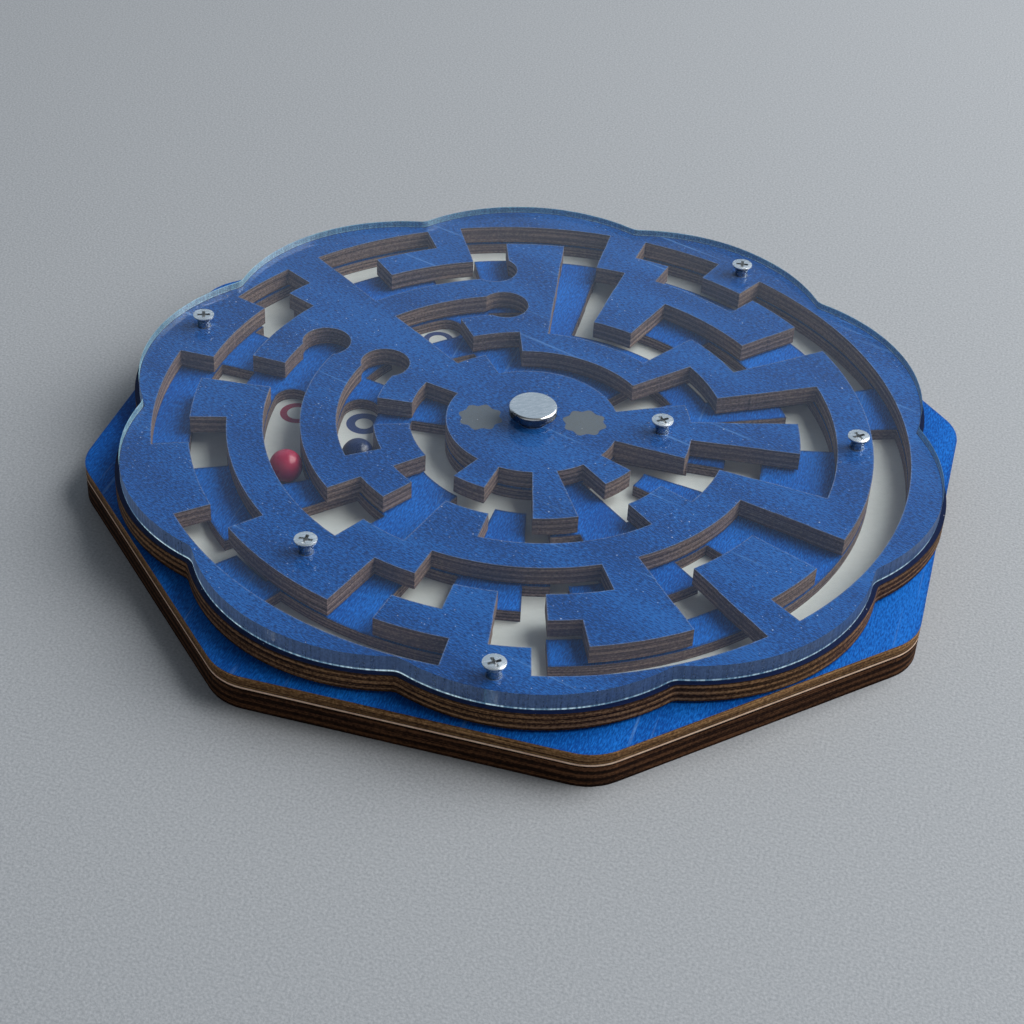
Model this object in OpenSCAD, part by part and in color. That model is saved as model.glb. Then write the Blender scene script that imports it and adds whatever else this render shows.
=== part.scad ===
// Two-layer rotating ball labyrinth: an octagonal plywood base with sunk channels,
// a lobed plywood disc with through channels that turns on a centre pivot,
// a clear cover screwed to the disc, and two balls that run in both layers at once.
// Millimetres, +Z up, origin at the centre of the base's underside.

/* [Channels] */
// Radius of the solid hub inside the first channel ring
hub_r = 18; // [16:0.5:22]
// Width of every channel, which is also the pitch of the rings
channel_w = 7.5; // [7:0.1:7.7]
// Half of the laser's cut, which widens each channel on both sides
kerf = 0.03; // [0.02:0.01:0.06]
// Diameter of the round pockets at channel ends in the disc
pocket_d = 10.4; // [9:0.1:11]
// Angle of the base's channel pattern from the base's +X flat
base_pattern_turn = 13.75; // [0:0.25:45]

/* [Base] */
// How far the flats of the base stand out past the tips of the disc's lobes, or less if below zero
base_margin = -0.5; // [-2:0.5:10]
// Radius of the base's rounded corners
base_corner_r = 11; // [6:0.5:16]
// Thickness of the plain bottom ply
base_t = 5; // [3:0.5:8]
// Thickness of the cream card that floors the channels
card_t = 0.4; // [0.3:0.1:1]
// Thickness of the ply that holds the base's channels
lower_t = 2.5; // [2.5:0.25:5]

/* [Disc] */
// Thickness of the ply that holds the disc's channels
upper_t = 4; // [4:0.25:6]
// Width of the rim outside the last ring, measured at a lobe's tip
rim_w = 8; // [7:0.5:12]
// Number of lobes around the rim
lobe_count = 10; // [9:1:14]
// Radius of each lobe
lobe_r = 40; // [37:1:60]
// Radius that rounds the notch between two lobes
notch_r = 2.5; // [1:0.5:5]
// Angle of the first lobe from the disc pattern's zero line
lobe_turn = -16; // [-18:1:18]

/* [Cover] */
// Thickness of the clear cover
cover_t = 3.6; // [2:0.2:5]
// Air film between the disc's ply and the cover
cover_gap = 0.05; // [0.02:0.01:0.1]
// How far the cover's edge is drawn in from the disc's
cover_inset = 1; // [0:0.1:2]

/* [Cover screws] */
// Diameter of a countersunk screw head
screw_head_d = 4.5; // [4.1:0.1:5]
// Height of the head's upright rim, above its cone
screw_rim = 0.3; // [0.2:0.05:0.5]
// Diameter of a screw's shank
screw_shank_d = 2.8; // [1.8:0.1:2.9]
// Depth a screw reaches into the disc's ply
screw_bite = 3.2; // [2:0.1:3.6]
// Radial clearance between a screw and its hole
screw_fit = 0.05; // [0.02:0.01:0.1]
// Width of the cross recess in a screw head
recess_w = 0.65; // [0.4:0.05:0.7]
// Span of the cross recess in a screw head
recess_span = 2.7; // [1.8:0.1:2.7]
// Depth of the cross recess in a screw head
recess_depth = 0.8; // [0.5:0.1:0.8]

/* [Pivot] */
// Outside diameter of the pivot barrel
barrel_d = 6; // [5:0.5:8]
// Radial running clearance between the barrel and the turning disc
pivot_fit = 0.06; // [0.03:0.01:0.09]
// Diameter of the barrel's flat head, sunk in the underside
barrel_head_d = 10; // [9.5:0.5:14]
// Thickness of the barrel's flat head
barrel_head_t = 1; // [0.6:0.1:1.6]
// Clearance around the barrel's head in its counterbore
head_clear = 0.2; // [0.1:0.05:0.5]
// Diameter of the cap on top of the pivot
cap_d = 10; // [9:0.5:14]
// Thickness of the cap
cap_t = 1.8; // [1.4:0.1:3]
// Radius that rounds the cap's upper edge
cap_edge_r = 0.5; // [0.3:0.1:1.2]
// Diameter of the cap's screw, which goes down into the barrel
cap_bolt_d = 3.8; // [3:0.1:4.2]
// Length of the cap's screw
cap_bolt_l = 8; // [5:0.5:10]
// Play between the cap and the cover
cap_play = 0.2; // [0.1:0.05:0.4]
// Outside diameter of the spacer washer that the disc turns on
washer_d = 14; // [12:0.5:24]
// Thickness of the spacer washer, which is the gap under the disc
washer_t = 0.6; // [0.4:0.1:1]

/* [Balls] */
// Clearance on each side of a ball in its channel
ball_clear = 0.35; // [0.3:0.05:0.6]
// Height of a ball's underside over the card
ball_lift = 0.05; // [0.02:0.01:0.1]
// Place of the red ball along its ring, in the base pattern's angles
red_ball_at = 197.5; // [171:0.5:198]
// Place of the blue ball along its ring, in the base pattern's angles
blue_ball_at = 196.5; // [172:0.5:197]

/* [Hidden] */
$fn = 128;
// Cuts run past a face by this much so that they leave no skin
cut_over = 1;
// Heights of the layers, from the underside up
card_z = base_t;
lower_z = card_z + card_t;
washer_z = lower_z + lower_t;
upper_z = washer_z + washer_t;
upper_top = upper_z + upper_t;
cover_z = upper_top + cover_gap;
cover_top = cover_z + cover_t;
cap_z = cover_top + cap_play;
// A screw's head stands on the cover, with the end of its cone at the rim of a straight hole
screw_head_h = screw_rim + (screw_head_d - screw_shank_d) / 2;
screw_top = cover_top + screw_head_h;
// Channel rings around the hub, one for each row of the lists below
ring_count = 8;
// At rest the disc's pattern stands in line with the base's
disc_rest_turn = base_pattern_turn;
// Outlines
rings_r = hub_r + ring_count * channel_w;
lobe_tip = rings_r + rim_w;
lobe_pivot = lobe_tip - lobe_r;
base_half = lobe_tip + base_margin;
base_sides = 8;
// Straight steps that draw the edge of one lobe and of one notch
lobe_steps = 24;
notch_steps = 6;
// Angle that the laser's cut adds at each end of a channel in the odd rings
kerf_turn = 0.1;
corner_pivot = (base_half - base_corner_r) / cos(180 / base_sides);
barrel_r = barrel_d / 2;
barrel_hole_r = barrel_r + pivot_fit;
ball_r = channel_w / 2 - ball_clear;
ball_z = lower_z + ball_lift + ball_r;
red_ring = 4;
blue_ring = 2;

// Channels of the disc, ring by ring from the hub outwards: [from, to] in degrees.
// Arcs that stand over one another in neighbouring rings make the passages between rings.
disc_rings = [
    [[15, 115], [153, 233.5], [249.5, 271.5], [287.5, 306.5], [322.5, 341.5]],
    [[15, 34.5], [96.5, 130.5], [171.5, 188], [214, 271.5], [287.5, 341.5]],
    [[4, 34.5], [45, 85.5], [114.5, 130.5], [150.5, 203], [225, 240.5], [256.5, 306.5],
        [322.5, 353]],
    [[4, 16.5], [45, 59], [72, 85.5], [99.5, 130.5], [214, 240.5], [340.5, 353]],
    [[4, 16.5], [27, 59], [72, 85.5], [151, 228.5], [248, 287.5], [296.5, 331], [340.5, 353]],
    [[27, 35.5], [72, 85.5], [100, 130.5], [163.5, 173], [239, 256], [265, 274], [296.5, 305],
        [322, 331], [340.5, 376.5]],
    [[27, 35.5], [46.5, 65], [78, 85.5], [96.5, 104], [122, 130.5], [142, 173], [184.5, 215.5],
        [239, 247], [265, 280], [296.5, 305], [322, 331]],
    [[58, 71.5], [78, 104], [110, 130.5], [137, 148.5], [166.5, 191.5], [209, 259],
        [271.5, 305], [311, 409.5]]
];
// Round pockets of the disc: [ring, angle].
disc_pockets = [[5, 100], [3, 99.5], [4, 151], [2, 150.5]];

// Channels of the base, ring by ring from the hub outwards: [from, to] in degrees.
base_rings = [
    [[27, 44], [171.5, 278], [306.5, 348]],
    [[27, 44], [114, 126], [236, 255], [269.5, 278], [306.5, 325.5], [336.5, 348]],
    [[134, 153], [169.5, 203], [269.5, 288.5], [336.5, 350]],
    [[24, 38.5], [49, 78.5], [92, 103], [117, 140], [212, 225.5], [276, 288.5], [347.5, 373]],
    [[4, 13], [30, 46], [72, 78.5], [170, 202.5], [212, 228], [245, 254.5], [269.5, 280],
        [307, 317.5]],
    [[1, 20], [72, 78.5], [102.5, 112], [245, 254.5], [261, 316]],
    [[72, 78.5], [102.5, 112], [141, 151.5], [163, 194], [214, 226], [261, 274]],
    [[19, 149], [187, 218], [229.5, 367.5]]
];
// Rounded channel ends of the base: [ring, angle].
base_round_ends = [[4, 170], [3, 117], [2, 169.5]];

// Cover screws: [place across the rings, angle], in the disc pattern's angles.
screws = [[8.06, 266.5], [6.54, 357.25], [7.95, 53.25], [7.97, 158.5], [5.96, 228.25], [1.17, 357]];

// Radius at a place across the rings: whole numbers are the rings' edges.
function ring_r(k) = hub_r + k * channel_w;

// Slab with the base's outline: an octagon with its flats on the axes and round corners.
module octagon_slab(z, t) {
    translate([0, 0, z]) {
        linear_extrude(t)
            polygon([for (i = [0 : base_sides - 1], side = [-1, 1])
                let (at = (i + 0.5) * 360 / base_sides, face = at + side * 180 / base_sides)
                corner_pivot * [cos(at), sin(at)] + base_corner_r * [cos(face), sin(face)]]);
        for (i = [0 : base_sides - 1])
            rotate((i + 0.5) * 360 / base_sides)
                translate([corner_pivot, 0, 0])
                    cylinder(r = base_corner_r, h = t);
    }
}

// Slab with the disc's outline: round lobes about the pivot with a fillet in each notch,
// drawn in by inset. Lobes and fillets keep their centres, so the edges stay parallel.
module lobed_slab(z, t, inset = 0) {
    span = 360 / lobe_count;
    across = lobe_pivot * sin(span / 2);
    notch_out = lobe_pivot * cos(span / 2) + sqrt(pow(lobe_r + notch_r, 2) - across * across);
    notch_mid = notch_out * [cos(span / 2), sin(span / 2)];
    bend = atan2(notch_mid[1], notch_mid[0] - lobe_pivot);
    function arc(mid, r, from, to, steps) =
        [for (j = [0 : steps]) let (a = from + (to - from) * j / steps) mid + r * [cos(a), sin(a)]];
    function inner(points) = [for (j = [1 : len(points) - 2]) points[j]];
    lobe = concat(arc([lobe_pivot, 0], lobe_r - inset, -bend, bend, lobe_steps),
        inner(arc(notch_mid, notch_r + inset, 180 + bend, 180 + span - bend, notch_steps)));
    translate([0, 0, z])
        linear_extrude(t)
            polygon([for (i = [0 : lobe_count - 1], p = lobe)
                let (at = lobe_turn + i * span)
                [p[0] * cos(at) - p[1] * sin(at), p[0] * sin(at) + p[1] * cos(at)]]);
}

// One curved channel cell: an arc of one ring, from angle to angle.
module channel_cell(k, arc, more_turn, z, t) {
    translate([0, 0, z])
        rotate(arc[0] - more_turn)
            rotate_extrude(angle = arc[1] - arc[0] + 2 * more_turn)
                translate([ring_r(k) - kerf, 0])
                    square([channel_w + 2 * kerf, t]);
}

// Cuts all channels of one layer out of its children: the even rings first, then the odd
// rings, a touch wider so that no two cuts share a plane, then the round ends.
module cut_channels(rings, ends, end_d, z, t) {
    low = z - cut_over;
    deep = t + 2 * cut_over;
    difference() {
        difference() {
            difference() {
                children();
                for (k = [0 : 2 : ring_count - 1], arc = rings[k])
                    channel_cell(k, arc, 0, low, deep);
            }
            for (k = [1 : 2 : ring_count - 1], arc = rings[k])
                channel_cell(k, arc, kerf_turn, low, deep);
        }
        for (e = ends)
            rotate(e[1])
                translate([ring_r(e[0] + 0.5), 0, low])
                    cylinder(d = end_d, h = deep);
    }
}

// Puts its children at every cover screw, in the disc pattern's angles.
module at_screws() {
    for (s = screws)
        rotate(s[1])
            translate([ring_r(s[0]), 0, 0])
                children();
}

// Hole for the barrel through one layer.
module barrel_hole(z, t) {
    translate([0, 0, z - cut_over])
        cylinder(r = barrel_hole_r, h = t + 2 * cut_over);
}

// Plain bottom ply with a counterbore for the barrel's head.
module base_plate() {
    color([0.62, 0.47, 0.31])
        difference() {
            octagon_slab(0, base_t);
            barrel_hole(0, base_t);
            translate([0, 0, -cut_over])
                cylinder(d = barrel_head_d + 2 * head_clear, h = barrel_head_t + cut_over);
        }
}

// Cream card glued between the two base plies.
module channel_card() {
    color([0.86, 0.84, 0.78])
        difference() {
            octagon_slab(card_z, card_t);
            barrel_hole(card_z, card_t);
        }
}

// Upper base ply, stained blue on top, with the base's channels cut through it.
module lower_maze() {
    color([0.12, 0.36, 0.76])
        rotate(base_pattern_turn)
            cut_channels(base_rings, base_round_ends, channel_w + 2 * kerf, lower_z, lower_t)
                rotate(-base_pattern_turn)
                    difference() {
                        octagon_slab(lower_z, lower_t);
                        barrel_hole(lower_z, lower_t);
                    }
}

// Thin washer that carries the disc clear of the base.
module spacer_washer() {
    color([0.75, 0.76, 0.78])
        difference() {
            translate([0, 0, washer_z])
                cylinder(d = washer_d, h = washer_t);
            barrel_hole(washer_z, washer_t);
        }
}

// Lobed ply of the disc, stained blue on top, with through channels and pilot holes.
module upper_maze() {
    color([0.22, 0.4, 0.69])
        rotate(disc_rest_turn)
            cut_channels(disc_rings, disc_pockets, pocket_d, upper_z, upper_t)
                difference() {
                    lobed_slab(upper_z, upper_t);
                    barrel_hole(upper_z, upper_t);
                    at_screws()
                        translate([0, 0, upper_top - screw_bite])
                            cylinder(d = screw_shank_d + 2 * screw_fit, h = screw_bite + cut_over);
                }
}

// Clear cover, drawn in from the disc's edge, with straight holes for its screws.
module clear_cover() {
    color([0.85, 0.93, 0.95, 0.35])
        difference() {
            rotate(disc_rest_turn)
                difference() {
                    lobed_slab(cover_z, cover_t, cover_inset);
                    at_screws()
                        translate([0, 0, cover_z - cut_over])
                            cylinder(d = screw_shank_d + 2 * screw_fit, h = cover_t + 2 * cut_over);
                }
            barrel_hole(cover_z, cover_t);
        }
}

// One countersunk cover screw with a cross recess, turned about its axis from its flat top down.
module cover_screw(i) {
    s = screws[i - 1];
    head = screw_head_d / 2;
    shank = screw_shank_d / 2;
    end = screw_top - upper_top + screw_bite;
    color([0.82, 0.83, 0.85])
        rotate(disc_rest_turn + s[1])
            translate([ring_r(s[0]), 0, screw_top])
                difference() {
                    rotate_extrude()
                        polygon([[0, 0], [head, 0], [head, -screw_rim], [shank, -screw_head_h],
                            [shank, shank - end], [0, -end]]);
                    for (turn = [30, 120])
                        rotate(turn)
                            translate([-recess_span / 2, -recess_w / 2, -recess_depth])
                                cube([recess_span, recess_w, recess_depth + cut_over]);
                }
}

// Pivot barrel: a tube with a flat head, pressed up through the base.
module pivot_barrel() {
    color([0.8, 0.81, 0.83])
        difference() {
            union() {
                cylinder(d = barrel_head_d, h = barrel_head_t);
                cylinder(d = barrel_d, h = cap_z);
            }
            translate([0, 0, cap_z - cap_bolt_l])
                cylinder(d = cap_bolt_d, h = cap_bolt_l + cut_over);
        }
}

// Cap with a round upper edge and a screw that fills the barrel.
module pivot_cap() {
    edge_steps = 8;
    color([0.86, 0.87, 0.89])
        translate([0, 0, cap_z]) {
            rotate_extrude()
                polygon(concat([[0, 0], [cap_d / 2, 0]],
                    [for (i = [0 : edge_steps])
                        let (a = 90 * i / edge_steps)
                        [cap_d / 2 - cap_edge_r + cap_edge_r * cos(a),
                            cap_t - cap_edge_r + cap_edge_r * sin(a)]],
                    [[0, cap_t]]));
            translate([0, 0, -cap_bolt_l])
                cylinder(d = cap_bolt_d, h = cap_bolt_l);
        }
}

// A ball on the card, in the middle of its ring.
module ball(ring, at) {
    rotate(base_pattern_turn + at)
        translate([ring_r(ring + 0.5), 0, ball_z])
            sphere(r = ball_r);
}

module red_ball() {
    color([0.62, 0.12, 0.2])
        ball(red_ring, red_ball_at);
}

module blue_ball() {
    color([0.08, 0.18, 0.5])
        ball(blue_ring, blue_ball_at);
}

base_plate();
channel_card();
lower_maze();
spacer_washer();
upper_maze();
clear_cover();
cover_screw(1);  // cover_screw_1
cover_screw(2);  // cover_screw_2
cover_screw(3);  // cover_screw_3
cover_screw(4);  // cover_screw_4
cover_screw(5);  // cover_screw_5
cover_screw(6);  // cover_screw_6
pivot_barrel();
pivot_cap();
red_ball();
blue_ball();
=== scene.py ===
import math

import bpy
from mathutils import Matrix, Vector


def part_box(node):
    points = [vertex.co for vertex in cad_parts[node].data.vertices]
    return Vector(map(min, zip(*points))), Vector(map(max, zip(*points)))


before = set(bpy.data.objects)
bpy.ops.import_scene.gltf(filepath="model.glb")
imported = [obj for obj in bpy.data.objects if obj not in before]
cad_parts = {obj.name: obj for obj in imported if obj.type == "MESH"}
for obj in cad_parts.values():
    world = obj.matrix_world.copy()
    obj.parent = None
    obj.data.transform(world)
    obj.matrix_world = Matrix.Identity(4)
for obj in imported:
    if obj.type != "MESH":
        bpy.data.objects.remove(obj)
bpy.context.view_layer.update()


# Base plate
# The bottom sheet is bare plywood cut to an octagon with a laser, which browned its edge.
# It is glued under the card, and the pivot barrel's head is sunk into its underside.


class Wire:
    """One output of a node. Arithmetic on it adds one Math node for each operator."""

    def __init__(self, nodes, socket):
        self.nodes = nodes
        self.socket = socket

    def __add__(self, other):
        return self.nodes.maths("ADD", self, other)

    def __radd__(self, other):
        return self.nodes.maths("ADD", other, self)

    def __sub__(self, other):
        return self.nodes.maths("SUBTRACT", self, other)

    def __rsub__(self, other):
        return self.nodes.maths("SUBTRACT", other, self)

    def __mul__(self, other):
        return self.nodes.maths("MULTIPLY", self, other)

    def __truediv__(self, other):
        return self.nodes.maths("DIVIDE", self, other)

    def __abs__(self):
        return self.nodes.maths("ABSOLUTE", self)


class Nodes:
    """A node tree that is written as expressions."""

    def __init__(self, tree):
        self.tree = tree
        self.tree.nodes.clear()

    def node(self, kind, settings, sockets, out=0):
        """Adds a node, sets it up, then fills its sockets with numbers or links."""
        made = self.tree.nodes.new(kind)
        for key, value in settings.items():
            if key == "stops":
                stops = made.color_ramp.elements
                while len(stops) < len(value):
                    stops.new(1.0)
                for stop, (position, colour) in zip(stops, value):
                    stop.position = position
                    stop.color = (*colour, 1.0)
            else:
                setattr(made, key, value)
        for key, value in sockets.items():
            if isinstance(value, Wire):
                self.tree.links.new(value.socket, made.inputs[key])
            else:
                made.inputs[key].default_value = value
        return Wire(self, made.outputs[out]) if made.outputs else None

    def maths(self, operation, first, second=0.0):
        """One Math node."""
        return self.node("ShaderNodeMath", {"operation": operation}, {0: first, 1: second})

    def vectors(self, operation, first, second, out=0):
        """One Vector Math node."""
        sockets = {0: first, 1: second}
        return self.node("ShaderNodeVectorMath", {"operation": operation}, sockets, out)

    def split(self, vector):
        """The three numbers of a vector."""
        first = self.node("ShaderNodeSeparateXYZ", {}, {0: vector})
        return [Wire(self, output) for output in first.socket.node.outputs]

    def ease(self, value, low, high):
        """0 at low and 1 at high, with a smooth rise between; high may be the lower one."""
        settings = {"interpolation_type": "SMOOTHSTEP"}
        return self.node("ShaderNodeMapRange", settings, {0: value, 1: low, 2: high})

    def blend(self, share, first, second):
        """A colour between two others."""
        tones = {6: first, 7: second}
        for key, tone in tones.items():
            tones[key] = tone if isinstance(tone, Wire) else (*tone, 1.0)
        return self.node("ShaderNodeMix", {"data_type": "RGBA"}, {0: share, **tones}, 2)

    def ramp(self, value, stops):
        """A colour read along a row of (position, colour) stops."""
        return self.node("ShaderNodeValToRGB", {"stops": stops}, {0: value})


class Finish(Nodes):
    """A material worked out from the piece's own coordinates and from which way a face looks."""

    def __init__(self, name):
        self.material = bpy.data.materials.new(name)
        self.material.use_nodes = True
        super().__init__(self.material.node_tree)
        self.place = self.node("ShaderNodeTexCoord", {}, {}, "Object")
        self.facing = self.split(self.node("ShaderNodeNewGeometry", {}, {}, "True Normal"))[2]

    def turned(self, degrees, scale):
        """Object coordinates turned about Z, so that X runs along the grain, then scaled."""
        mapping = {"Vector": self.place, "Rotation": (0.0, 0.0, math.radians(-degrees))}
        return self.vectors("MULTIPLY", self.node("ShaderNodeMapping", {}, mapping), scale)

    def noise(self, vector, detail=2.0, roughness=0.5):
        """Smooth noise from 0 to 1 with about one wave for each unit of the vector."""
        sockets = {"Vector": vector, "Scale": 1.0, "Detail": detail, "Roughness": roughness}
        return self.node("ShaderNodeTexNoise", {"noise_dimensions": "3D"}, sockets)

    def flecks(self, scale, size):
        """Small round dots, one in each cell of a scatter with this many cells to the metre."""
        sockets = {"Vector": self.place, "Scale": scale}
        away = self.node("ShaderNodeTexVoronoi", {"feature": "F1"}, sockets, "Distance")
        return self.ease(away, size, size * 0.6)

    def height_in(self, node):
        """0 at a flat piece's underside and 1 at its top."""
        low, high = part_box(node)
        return (self.split(self.place)[2] - low[2]) / (high[2] - low[2])

    def reach(self):
        """Distance from the pivot's axis, in metres."""
        x, y, z = self.split(self.place)
        return self.maths("SQRT", x * x + y * y)

    def flat(self):
        """1 on faces that lie flat and 0 on upright ones."""
        return self.ease(abs(self.facing), 0.4, 0.6)

    def bump(self, height, depth, normal=None):
        """The normal of a surface that is raised by depth, in metres, where height is 1. It may
        lie on top of another such normal."""
        sockets = {"Height": height, "Strength": 1.0, "Distance": depth}
        if normal:
            sockets["Normal"] = normal
        return self.node("ShaderNodeBump", {}, sockets)

    def arris(self, width):
        """1 on the sharp edges of a piece and 0 further from them than this width in metres."""
        rounded = self.node("ShaderNodeBevel", {"samples": 4}, {"Radius": width})
        straight = self.node("ShaderNodeNewGeometry", {}, {}, "True Normal")
        return self.ease(self.vectors("DOT_PRODUCT", rounded, straight, "Value"), 0.99, 0.9)

    def surface(self, sockets):
        """The Principled shader with its sockets filled."""
        return self.node("ShaderNodeBsdfPrincipled", {}, sockets)

    def close(self, shader):
        """Puts a shader on the material's output."""
        self.node("ShaderNodeOutputMaterial", {}, {"Surface": shader})
        return self.material


def dress(material, *names):
    """Puts one material on every slot of these solids."""
    for name in names:
        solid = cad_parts[name]
        if not solid.material_slots:
            solid.data.materials.append(material)
        for place in solid.material_slots:
            place.material = material


veneers = 3.0


def burnt_edge(finish, node, ridges, tones):
    """Colour of a laser-cut plywood edge: fine streaks that run level, speckled with soot, and a
    light ridge that wavers along the middle of each of three veneers. The tones are the dark,
    middle and light colour, and ridges is how strongly the veneers show."""
    streak = finish.noise(finish.turned(0.0, (40.0, 40.0, 4200.0)), 4.0, 0.6)
    soot = finish.noise(finish.turned(0.0, (1900.0, 1900.0, 2800.0)), 2.0)
    waver = finish.noise(finish.turned(0.0, (55.0, 55.0, 300.0)), 2.0)
    veneer = finish.height_in(node) * veneers + waver * 0.5 - 0.25
    across = finish.maths("PINGPONG", veneer, 0.5)
    ridge = finish.ease(across, 0.08, 0.42)
    tone = streak * 0.62 + soot * 0.38 + (ridge - 0.5) * ridges
    return finish.ramp(tone, list(zip((0.36, 0.5, 0.66), tones)))


def bare_ply(finish, degrees):
    """Colour of an unstained veneer: pale birch with fine pores along the grain."""
    figure = finish.noise(finish.turned(degrees, (25.0, 160.0, 1.0)), 3.0)
    pores = finish.noise(finish.turned(degrees, (300.0, 2600.0, 1.0)), 2.0)
    tones = [(0.3, (0.36, 0.23, 0.12)), (0.7, (0.56, 0.4, 0.24))]
    return finish.ramp(figure * 0.6 + pores * 0.4, tones)


base_grain = 88.0
plate_ridges = 0.18
plate_tones = [(0.008, 0.0035, 0.002), (0.032, 0.0135, 0.007), (0.13, 0.058, 0.027)]

plate_finish = Finish("bare_base_ply")
plate_edge = burnt_edge(plate_finish, "base_plate", plate_ridges, plate_tones)
plate_faces = bare_ply(plate_finish, base_grain)
plate_colour = plate_finish.blend(plate_finish.flat(), plate_edge, plate_faces)
plate_sockets = {"Base Color": plate_colour, "Roughness": 0.75, "Specular IOR Level": 0.08}
dress(plate_finish.close(plate_finish.surface(plate_sockets)), "base_plate")


# Channel card
# A sheet of cream card glued between the two base plies. It shows as the floor of every channel
# and as a pale line round the base, with plain printed rings where the balls set off.

pattern_turn = 13.75
card_tones = [(0.3, (0.66, 0.675, 0.65)), (0.7, (0.78, 0.795, 0.77))]
card_side_tones = [(0.3, (0.72, 0.47, 0.33)), (0.7, (0.95, 0.72, 0.54))]
red_ink = (0.3, 0.01, 0.035)
blue_ink = (0.008, 0.03, 0.16)
printed_rings = [
    (0.0504, 171.2, 0.0029, 0.00075, red_ink),
    (0.0358, 171.6, 0.0028, 0.00095, blue_ink),
    (0.04425, 119.5, 0.00275, 0.0007, blue_ink)]
ink_strength = 0.97
card_tooth = 0.00002

card_finish = Finish("cream_card")
fibre = card_finish.noise(card_finish.turned(20.0, (500.0, 900.0, 1.0)), 4.0, 0.65)
cloud = card_finish.noise(card_finish.turned(0.0, (45.0, 45.0, 1.0)), 2.0)
card_colour = card_finish.ramp(fibre * 0.5 + cloud * 0.5, card_tones)
card_level = card_finish.vectors("MULTIPLY", card_finish.place, (1.0, 1.0, 0.0))
for reach, angle, ring_middle, ring_half, ink in printed_rings:
    way = math.radians(angle + pattern_turn)
    middle = (reach * math.cos(way), reach * math.sin(way), 0.0)
    away = card_finish.vectors("DISTANCE", card_level, middle, "Value")
    inked = card_finish.ease(abs(away - ring_middle), ring_half * 1.1, ring_half * 0.9)
    card_colour = card_finish.blend(inked * ink_strength, card_colour, ink)
card_side = card_finish.ramp(fibre, card_side_tones)
card_colour = card_finish.blend(card_finish.flat(), card_side, card_colour)
card_sockets = {"Base Color": card_colour, "Roughness": 0.85,
                "Normal": card_finish.bump(fibre, card_tooth)}
dress(card_finish.close(card_finish.surface(card_sockets)), "channel_card")


# Lower maze
# The upper base ply is stained blue on top, then cut with a laser that left soot beside the cuts.
# That dark line beside the cuts is also painted shade, where the disc shades the ply's top.
# Its channels lie on the card, and only its rim and what stands under the disc's channels shows.

wall_tones = [(0.066, 0.044, 0.036), (0.16, 0.106, 0.085), (0.38, 0.265, 0.2)]
lower_edge_tones = [(0.039, 0.017, 0.006), (0.245, 0.126, 0.052), (0.62, 0.36, 0.16)]
lower_stain = [(0.0015, 0.07, 0.35), (0.003, 0.115, 0.5), (0.01, 0.19, 0.7)]
ray_tone = (0.16, 0.36, 0.74)
ray_strength = 0.4
wall_top_highlight_tone = (0.32, 0.27, 0.25)
wall_top_highlight_strength = 0.5
foot_tone = (0.02, 0.009, 0.004)
foot_strength = 0.55
soot_and_shade_tone = (0.012, 0.014, 0.02)
soot_and_shade_strength = 0.92
soot_and_shade_width = 0.0011
lower_ridges = 0.06
wall_ridges = 0.09
last_channel_reach = 0.0795
pores_across = 3500.0
lower_pores_along = 900.0
pore_depth = 0.000012


def past_channels(finish):
    """0 where the channels are and 1 on the rim outside the last ring of them."""
    return finish.ease(finish.reach(), last_channel_reach, last_channel_reach + 0.0004)


def stain(finish, degrees, pores_along, tones):
    """Colour of blue stain on a veneer: short pores, so many to the metre along the grain, slow
    drifts of tone, and here and there a long pale ray. Also returns the pores as relief."""
    pores = finish.noise(finish.turned(degrees, (pores_along, pores_across, 1.0)), 2.0, 0.6)
    drift = finish.noise(finish.turned(degrees, (20.0, 70.0, 1.0)), 3.0)
    ray_line = finish.noise(finish.turned(degrees, (15.0, 620.0, 1.0)), 1.0)
    ray_where = finish.noise(finish.turned(degrees + 30.0, (45.0, 45.0, 1.0)), 1.0)
    ray = finish.ease(ray_line, 0.67, 0.73) * finish.ease(ray_where, 0.44, 0.56)
    colour = finish.ramp(pores * 0.7 + drift * 0.3, list(zip((0.42, 0.5, 0.6), tones)))
    return finish.blend(ray * ray_strength, colour, ray_tone), pores


def stained_ply(finish, node, degrees, pores_along, stain_tones, edge_ridges, edge_tones):
    """A whole stained sheet: blue on top, bare below, burnt on every cut edge. The walls of the
    channels, inside the last ring, are sootier than the outer edge, with a painted highlight along
    their top. Returns the colour, the grain's relief and a mask of the top."""
    stained, relief = stain(finish, degrees, pores_along, stain_tones)
    wall = burnt_edge(finish, node, wall_ridges, wall_tones)
    # A pale line along the top of each channel wall: painted highlight.
    arris = finish.ease(finish.height_in(node), 0.95, 0.98)
    wall = finish.blend(arris * wall_top_highlight_strength, wall, wall_top_highlight_tone)
    rim = burnt_edge(finish, node, edge_ridges, edge_tones)
    edge = finish.blend(past_channels(finish), wall, rim)
    top = finish.ease(finish.facing, 0.4, 0.6)
    under = finish.ease(finish.facing, -0.4, -0.6)
    colour = finish.blend(under, edge, bare_ply(finish, degrees))
    return finish.blend(top, colour, stained), relief, top


lower_finish = Finish("stained_base_ply")
lower_colour, lower_relief, lower_top = stained_ply(
    lower_finish, "lower_maze", base_grain, lower_pores_along, lower_stain, lower_ridges,
    lower_edge_tones)
lower_rim = past_channels(lower_finish)
lower_foot = lower_finish.ease(lower_finish.height_in("lower_maze"), 0.72, 0.3)
lower_foot = lower_foot * lower_rim * (1.0 - lower_top)
lower_colour = lower_finish.blend(lower_foot * foot_strength, lower_colour, foot_tone)
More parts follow.
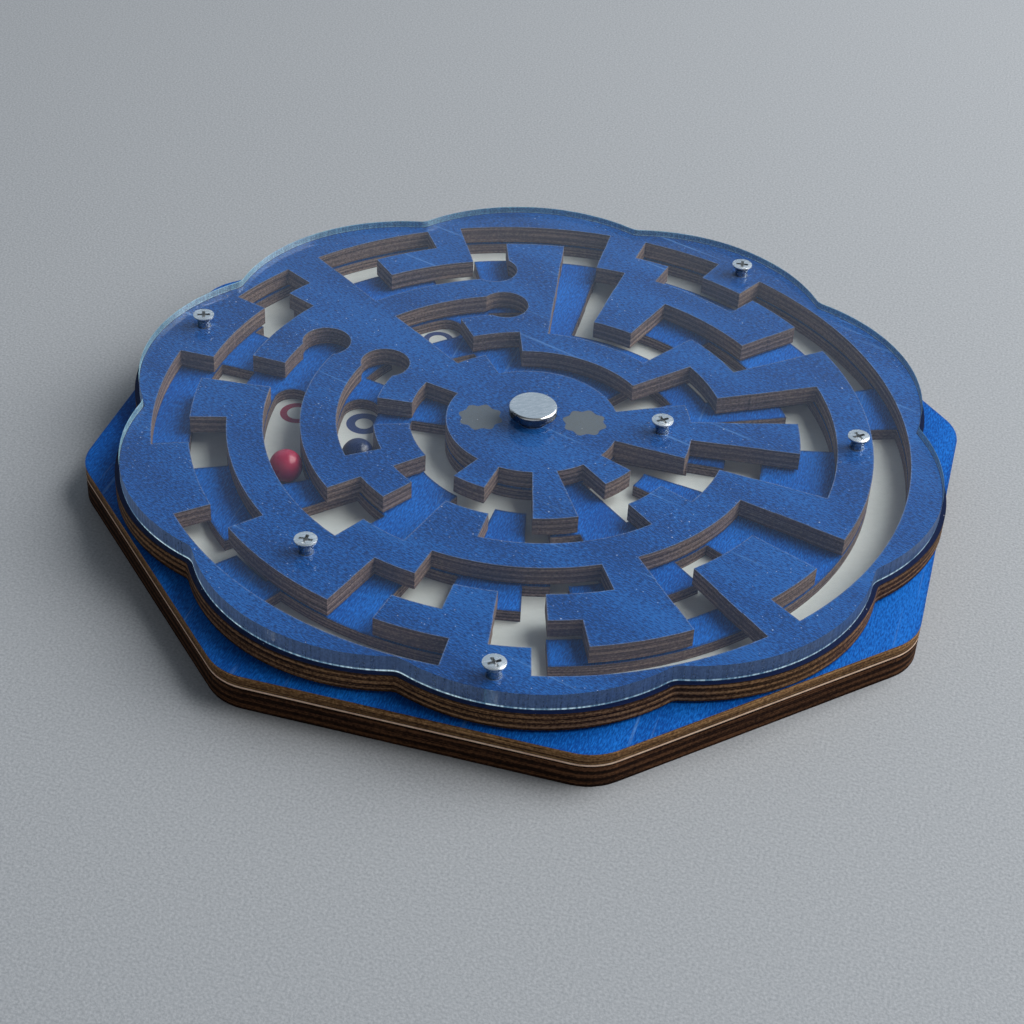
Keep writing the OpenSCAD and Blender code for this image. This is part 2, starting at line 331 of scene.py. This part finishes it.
# A dark line beside the cuts on the stained top: laser soot, and painted shade under the disc.
lower_soot_and_shade = lower_finish.arris(soot_and_shade_width) * lower_top * (1.0 - lower_rim * 0.7)
lower_colour = lower_finish.blend(lower_soot_and_shade * soot_and_shade_strength, lower_colour, soot_and_shade_tone)
lower_sockets = {"Base Color": lower_colour, "Roughness": 0.66 - lower_top * 0.14,
                 "Specular IOR Level": 0.12, "Normal": lower_finish.bump(lower_relief, pore_depth)}
dress(lower_finish.close(lower_finish.surface(lower_sockets)), "lower_maze")


# Spacer washer
# A thin plain steel washer on the pivot that keeps the disc clear of the base. It lies in the
# narrow gap between them.

washer_finish = Finish("plain_steel")
washer_lines = washer_finish.noise(washer_finish.turned(0.0, (900.0, 900.0, 900.0)), 2.0)
washer_sockets = {"Base Color": (0.5, 0.51, 0.53, 1.0), "Metallic": 1.0,
                  "Roughness": 0.32 + washer_lines * 0.12}
dress(washer_finish.close(washer_finish.surface(washer_sockets)), "spacer_washer")


# Upper maze
# The turning disc: plywood with lobes round its rim, stained blue on top and cut through with
# channels. Two small plain marks are engraved through the stain beside the pivot.

disc_grain = -19.0
upper_stain = [(0.0012, 0.034, 0.155), (0.004, 0.071, 0.29), (0.014, 0.135, 0.47)]
upper_edge_tones = [(0.009, 0.004, 0.002), (0.08, 0.038, 0.017), (0.36, 0.2, 0.095)]
upper_ridges = 0.15
upper_pores_along = 1050.0
wear_and_highlight_tone = (0.36, 0.4, 0.46)
wear_and_highlight_strength = 0.6
wear_and_highlight_width = 0.00045
dust_tone = (0.75, 0.78, 0.82)
dust_strength = 0.7
lobe_span = math.radians(36.0)
lobe_start = math.radians(pattern_turn - 16.0)
lobe_radius = 0.04
lobe_overhang = 0.0005
lobe_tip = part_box("base_plate")[1][0] + lobe_overhang
cover_inset = 0.001
ledge_shade_tone = (0.001, 0.006, 0.04)
ledge_shade_strength = 0.97
ledge_blur = 0.0003
mark_reach = 0.0108
mark_radius = 0.0043
mark_wave = 0.00035
mark_petals = 8.0
mark_blur = 0.00005
mark_tone = (0.15, 0.155, 0.14)
mark_strength = 0.9


def rim_distance(finish):
    """How far a point lies inside the disc's lobed outline, in metres. The angle is folded into
    one lobe, and the distance to that lobe's middle is taken from the lobe's radius."""
    x, y, z = finish.split(finish.place)
    angle = finish.maths("ARCTAN2", y, x) - lobe_start + lobe_span / 2.0
    folded = finish.maths("FLOORED_MODULO", angle, lobe_span) - lobe_span / 2.0
    reach = finish.reach()
    along = reach * finish.maths("COSINE", folded) - (lobe_tip - lobe_radius)
    along = finish.maths("MAXIMUM", along, 0.0)
    across = reach * finish.maths("SINE", folded)
    return lobe_radius - finish.maths("SQRT", along * along + across * across)


upper_finish = Finish("stained_disc_ply")
upper_colour, upper_relief, upper_top = stained_ply(
    upper_finish, "upper_maze", disc_grain, upper_pores_along, upper_stain, upper_ridges,
    upper_edge_tones)
# Pale lines along the top edges of the channels: partly bare worn wood, partly painted highlight.
worn_and_highlit = upper_finish.arris(wear_and_highlight_width) * upper_finish.ease(upper_relief, 0.3, 0.55) * upper_top
upper_colour = upper_finish.blend(worn_and_highlit * wear_and_highlight_strength, upper_colour, wear_and_highlight_tone)
# The narrow ledge of the disc's top outside the cover is painted almost black: painted shade under
# the cover's edge.
ledge_shade = upper_finish.ease(rim_distance(upper_finish), cover_inset + ledge_blur, cover_inset)
ledge_shade = ledge_shade * upper_top
upper_colour = upper_finish.blend(ledge_shade * ledge_shade_strength, upper_colour, ledge_shade_tone)
for side in (0.0, 180.0):
    way = math.radians(pattern_turn + side)
    shift = (-mark_reach * math.cos(way), -mark_reach * math.sin(way), 0.0)
    dx, dy, dz = upper_finish.split(upper_finish.vectors("ADD", upper_finish.place, shift))
    petals = upper_finish.maths("COSINE", upper_finish.maths("ARCTAN2", dy, dx) * mark_petals)
    away = upper_finish.maths("SQRT", dx * dx + dy * dy) - petals * mark_wave
    engraved = upper_finish.ease(away, mark_radius + mark_blur, mark_radius - mark_blur)
    engraved = engraved * upper_top
    upper_colour = upper_finish.blend(engraved * mark_strength, upper_colour, mark_tone)
dust_where = upper_finish.noise(upper_finish.turned(0.0, (70.0, 70.0, 70.0)), 1.0)
dust = upper_finish.flecks(330.0, 0.06) + upper_finish.flecks(720.0, 0.1) * 0.7
dust = dust * upper_finish.ease(dust_where, 0.42, 0.5) * upper_top
upper_colour = upper_finish.blend(dust * dust_strength, upper_colour, dust_tone)
upper_sockets = {"Base Color": upper_colour, "Roughness": 0.66 - upper_top * 0.14,
                 "Specular IOR Level": 0.12, "Normal": upper_finish.bump(upper_relief, pore_depth)}
dress(upper_finish.close(upper_finish.surface(upper_sockets)), "upper_maze")


# Clear cover
# A sheet of clear acrylic with the disc's outline. The laser left its edge frosted, with fine
# upright lines. Light carried in the sheet is painted on that edge: blue and teal tones, and a
# glowing lower rim and upper arris. Lamp light passes straight through its faces.

acrylic_ior = 1.49
upright_depth = 0.00001
outer_edge_light_tones = [(0.4, (0.022, 0.058, 0.16)), (0.6, (0.045, 0.105, 0.26))]
inner_edge_light_tones = [(0.4, (0.02, 0.12, 0.16)), (0.6, (0.11, 0.37, 0.42))]
rim_glow_tones = [(0.4, (0.07, 0.15, 0.22)), (0.62, (0.45, 0.6, 0.66))]
top_glow_tones = [(0.35, (0.012, 0.055, 0.07)), (0.6, (0.17, 0.29, 0.3))]
outer_glow_tone = (0.016, 0.03, 0.067)
no_glow = (0.0, 0.0, 0.0)

cover_finish = Finish("clear_acrylic")
upright = cover_finish.noise(cover_finish.turned(0.0, (2000.0, 2000.0, 25.0)), 2.0)
upright = cover_finish.ease(upright, 0.35, 0.65)
cover_wall = 1.0 - cover_finish.flat()
cover_depth = rim_distance(cover_finish) - cover_inset
outer_wall = cover_finish.ease(cover_depth, 0.0006, 0.0004)
cover_edge = cover_wall * outer_wall
hole_wall = cover_wall * (1.0 - outer_wall)
inside = cover_finish.node("ShaderNodeNewGeometry", {}, {}, "Backfacing")
cover_height = cover_finish.height_in("clear_cover")
cover_rim = cover_finish.ease(cover_height, 0.12, 0.07)
cover_arris = cover_finish.ease(cover_height, 0.85, 0.93)
glow_share = cover_finish.noise(cover_finish.turned(0.0, (60.0, 60.0, 60.0)), 3.0)
# The edge glows by emission along its lower rim and upper arris: painted light.
rim_glow = cover_finish.ramp(glow_share * 0.8 + upright * 0.2, rim_glow_tones)
grain = cover_finish.noise(cover_finish.turned(0.0, (2600.0, 2600.0, 1800.0)), 2.0)
# The frosted edge is blue seen from outside and teal seen from inside: painted light that the
# sheet carries from the blue disc.
outer_edge_light_tone = cover_finish.ramp(grain, outer_edge_light_tones)
frost_and_edge_light_tone = cover_finish.blend(inside, outer_edge_light_tone, cover_finish.ramp(grain, inner_edge_light_tones))
frost_share = cover_edge * (0.62 + upright * 0.2 + cover_rim * 0.18)
top_glow = cover_finish.ramp(glow_share, top_glow_tones)
glow = cover_finish.blend(inside, outer_glow_tone, no_glow)
glow = cover_finish.blend(cover_rim * (1.0 - inside * 0.75), glow, rim_glow)
glow = cover_finish.blend(cover_arris * inside, glow, top_glow)
cover_clear = cover_finish.surface({
    "Base Color": (0.96, 0.985, 0.99, 1.0), "Roughness": 0.0, "IOR": acrylic_ior,
    "Transmission Weight": 1.0, "Specular Tint": (0.22, 0.34, 0.65, 1.0),
    "Normal": cover_finish.bump(upright * cover_edge, upright_depth)})
cover_frost = cover_finish.surface({
    "Base Color": frost_and_edge_light_tone, "Roughness": 0.5, "IOR": acrylic_ior,
    "Transmission Weight": 0.25, "Emission Color": glow, "Emission Strength": 1.0})
cover_shares = {0: frost_share, 1: cover_clear, 2: cover_frost}
cover_sheet = cover_finish.node("ShaderNodeMixShader", {}, cover_shares)
lamp_tint = {"Color": (0.96, 0.98, 0.985, 1.0)}
lamp_way = cover_finish.node("ShaderNodeBsdfTransparent", {}, lamp_tint)
shadow_path = cover_finish.node("ShaderNodeLightPath", {}, {}, "Is Shadow Ray")
soft_path = cover_finish.node("ShaderNodeLightPath", {}, {}, "Is Diffuse Ray")
shadow_path = shadow_path * (1.0 - cover_edge * (1.0 - inside))
lets_through = cover_finish.maths("MAXIMUM", shadow_path, soft_path)
lets_through = cover_finish.maths("MAXIMUM", lets_through, hole_wall)
path_shares = {0: lets_through, 1: cover_sheet, 2: lamp_way}
cover_shader = cover_finish.node("ShaderNodeMixShader", {}, path_shares)
dress(cover_finish.close(cover_shader), "clear_cover")


# Cover screws, pivot barrel and pivot cap
# Small bright screws with cross recesses hold the cover to the disc. The pivot is a bright tube
# from below with a flat cap screwed into it, plated and a little scuffed. The screws' undersides
# and the pivot's sides are painted darker: painted shade.

scuff_depth = 0.000001


def plated_metal(finish, roughness, tone, normal=None):
    """Bright plating with fine scuffs that run one way and dull it here and there. The tone is how
    bright the plating is drawn, lowered by the callers for painted shade, and the normal is that
    of a surface under the scuffs, if any."""
    scuff = finish.noise(finish.turned(35.0, (700.0, 1900.0, 900.0)), 3.0, 0.6)
    dull = finish.ease(scuff, 0.5, 0.75)
    plating = finish.ramp(scuff, [(0.35, (0.8, 0.84, 0.86)), (0.6, (0.94, 0.97, 0.98))])
    colour = finish.blend(tone, (0.05, 0.06, 0.08), plating)
    sockets = {"Base Color": colour, "Metallic": 1.0, "Roughness": roughness + dull * 0.12,
               "Normal": finish.bump(scuff, scuff_depth, normal)}
    return finish.close(finish.surface(sockets))


head_radius = 0.00225
head_dome = 0.0003
screw_roughness = 0.26
pivot_roughness = 0.2
for number in range(1, 7):
    screw = "cover_screw_%d" % number
    low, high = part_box(screw)
    shift = (-(low[0] + high[0]) / 2.0, -(low[1] + high[1]) / 2.0, 0.0)
    screw_finish = Finish("bright_" + screw)
    dx, dy, dz = screw_finish.split(screw_finish.vectors("ADD", screw_finish.place, shift))
    share_out = screw_finish.maths("SQRT", dx * dx + dy * dy) / head_radius
    dome = screw_finish.bump(share_out * share_out, -head_dome)
    # Faces that look down are painted darker: painted shade.
    under = screw_finish.ease(screw_finish.facing, 0.3, -0.2)
    tone = 1.0 - under * 0.7
    dress(plated_metal(screw_finish, screw_roughness, tone, dome), screw)
for pivot_part in ("pivot_barrel", "pivot_cap"):
    pivot_finish = Finish("bright_" + pivot_part)
    # The upright sides are painted darker: painted shade.
    side = pivot_finish.ease(pivot_finish.facing, 0.35, 0.1)
    dress(plated_metal(pivot_finish, pivot_roughness, 0.95 - side * 0.85), pivot_part)


# Balls
# Two small balls with a glossy coat, one red and one blue. They stand on the card and reach up
# through the channels of both layers.

ball_coats = {"red_ball": [(0.3, (0.34, 0.014, 0.045)), (0.7, (0.5, 0.026, 0.07))],
              "blue_ball": [(0.3, (0.002, 0.008, 0.045)), (0.7, (0.005, 0.018, 0.09))]}
for ball, coat in ball_coats.items():
    ball_finish = Finish(ball + "_coat")
    haze = ball_finish.noise(ball_finish.turned(0.0, (250.0, 250.0, 250.0)), 3.0)
    ball_sockets = {"Base Color": ball_finish.ramp(haze, coat), "Roughness": 0.2 + haze * 0.16,
                    "Specular IOR Level": 0.35, "Coat Weight": 0.25, "Coat Roughness": 0.06}
    dress(ball_finish.close(ball_finish.surface(ball_sockets)), ball)


# Floor
# A plain pale grey board under the puzzle, with a fine tooth that mottles it a little. It isn't a
# piece of the puzzle.

floor_half = 2.5
floor_tooth = 0.00006
floor_corners = [(-floor_half, -floor_half, 0.0), (floor_half, -floor_half, 0.0),
                 (floor_half, floor_half, 0.0), (-floor_half, floor_half, 0.0)]
floor_mesh = bpy.data.meshes.new("floor")
floor_mesh.from_pydata(floor_corners, [], [(0, 1, 2, 3)])
floor = bpy.data.objects.new("floor", floor_mesh)
bpy.context.scene.collection.objects.link(floor)
floor_finish = Finish("grey_board")
tooth = floor_finish.noise(floor_finish.turned(0.0, (1900.0, 1900.0, 1900.0)), 3.0, 0.6)
floor_tones = [(0.3, (0.325, 0.348, 0.372)), (0.7, (0.485, 0.508, 0.532))]
floor_colour = floor_finish.ramp(tooth, floor_tones)
floor_sockets = {"Base Color": floor_colour, "Roughness": 0.9,
                 "Normal": floor_finish.bump(tooth, floor_tooth)}
floor_mesh.materials.append(floor_finish.close(floor_finish.surface(floor_sockets)))


# Light
# A wide soft lamp from the right and behind, in a grey room that is brighter on the far side and
# low down on the near side, and dimmer on the left.

lamp_place = Vector((0.82, 0.42, 0.84))
lamp_width = 1.15
lamp_watts = 21.0
lamp_colour = (1.0, 0.99, 0.98)
room_tone = (0.086, 0.091, 0.099)
room_left_tone = (0.028, 0.031, 0.036)
room_far_tone = (0.36, 0.43, 0.51)
room_near_tone = (0.36, 0.365, 0.37)

lamp_data = bpy.data.lights.new("window", "AREA")
lamp_data.size = lamp_width
lamp_data.energy = lamp_watts
lamp_data.color = lamp_colour
lamp = bpy.data.objects.new("window", lamp_data)
bpy.context.scene.collection.objects.link(lamp)
lamp.rotation_euler = (-lamp_place).to_track_quat("-Z", "Y").to_euler()
lamp.location = lamp_place
room = bpy.data.worlds.new("room")
bpy.context.scene.world = room
room.use_nodes = True
room_nodes = Nodes(room.node_tree)
room_way = room_nodes.node("ShaderNodeTexCoord", {}, {}, "Generated")
far_side = room_nodes.vectors("DOT_PRODUCT", room_way, (-0.24, 0.97, 0.0), "Value")
left_side = room_nodes.vectors("DOT_PRODUCT", room_way, (-0.97, -0.24, 0.0), "Value")
left_share = room_nodes.ease(left_side, -0.2, 0.7)
far_share = room_nodes.ease(far_side, 0.2, 0.65)
near_side = room_nodes.vectors("DOT_PRODUCT", room_way, (0.1, -0.995, 0.0), "Value")
near_share = room_nodes.ease(near_side, 0.5, 0.92)
room_colour = room_nodes.blend(left_share, room_tone, room_left_tone)
room_colour = room_nodes.blend(far_share, room_colour, room_far_tone)
room_colour = room_nodes.blend(near_share, room_colour, room_near_tone)
room_light = room_nodes.node("ShaderNodeBackground", {}, {"Color": room_colour, "Strength": 1.0})
room_nodes.node("ShaderNodeOutputWorld", {}, {"Surface": room_light})


# Camera
# It stands above the near side and looks down at the disc, turned a little on its own axis. Its
# place and lens come from the octagon's corners and the rings of channels.

lens_mm = 73.57
sensor_mm = 36.0
look_angle = math.radians(13.75)
look_height = math.radians(37.958)
look_roll = math.radians(3.1986)
look_distance = 0.40872
look_aim = Vector((0.00434, -0.03109, 0.01435))
level = Vector((math.cos(look_angle), math.sin(look_angle), 0.0))
nearer = Vector((math.sin(look_angle), -math.cos(look_angle), 0.0))
back = nearer * math.cos(look_height) + Vector((0.0, 0.0, math.sin(look_height)))
upward = back.cross(level)
right = math.cos(look_roll) * level + math.sin(look_roll) * upward
above = math.cos(look_roll) * upward - math.sin(look_roll) * level
camera_data = bpy.data.cameras.new("camera")
camera_data.lens = lens_mm
camera_data.sensor_width = sensor_mm
camera_data.clip_start = 0.01
camera = bpy.data.objects.new("camera", camera_data)
bpy.context.scene.collection.objects.link(camera)
camera_turn = Matrix((right, above, back)).transposed().to_4x4()
camera.matrix_world = Matrix.Translation(look_aim + back * look_distance) @ camera_turn
bpy.context.scene.camera = camera
bpy.context.scene.view_settings.view_transform = "Standard"
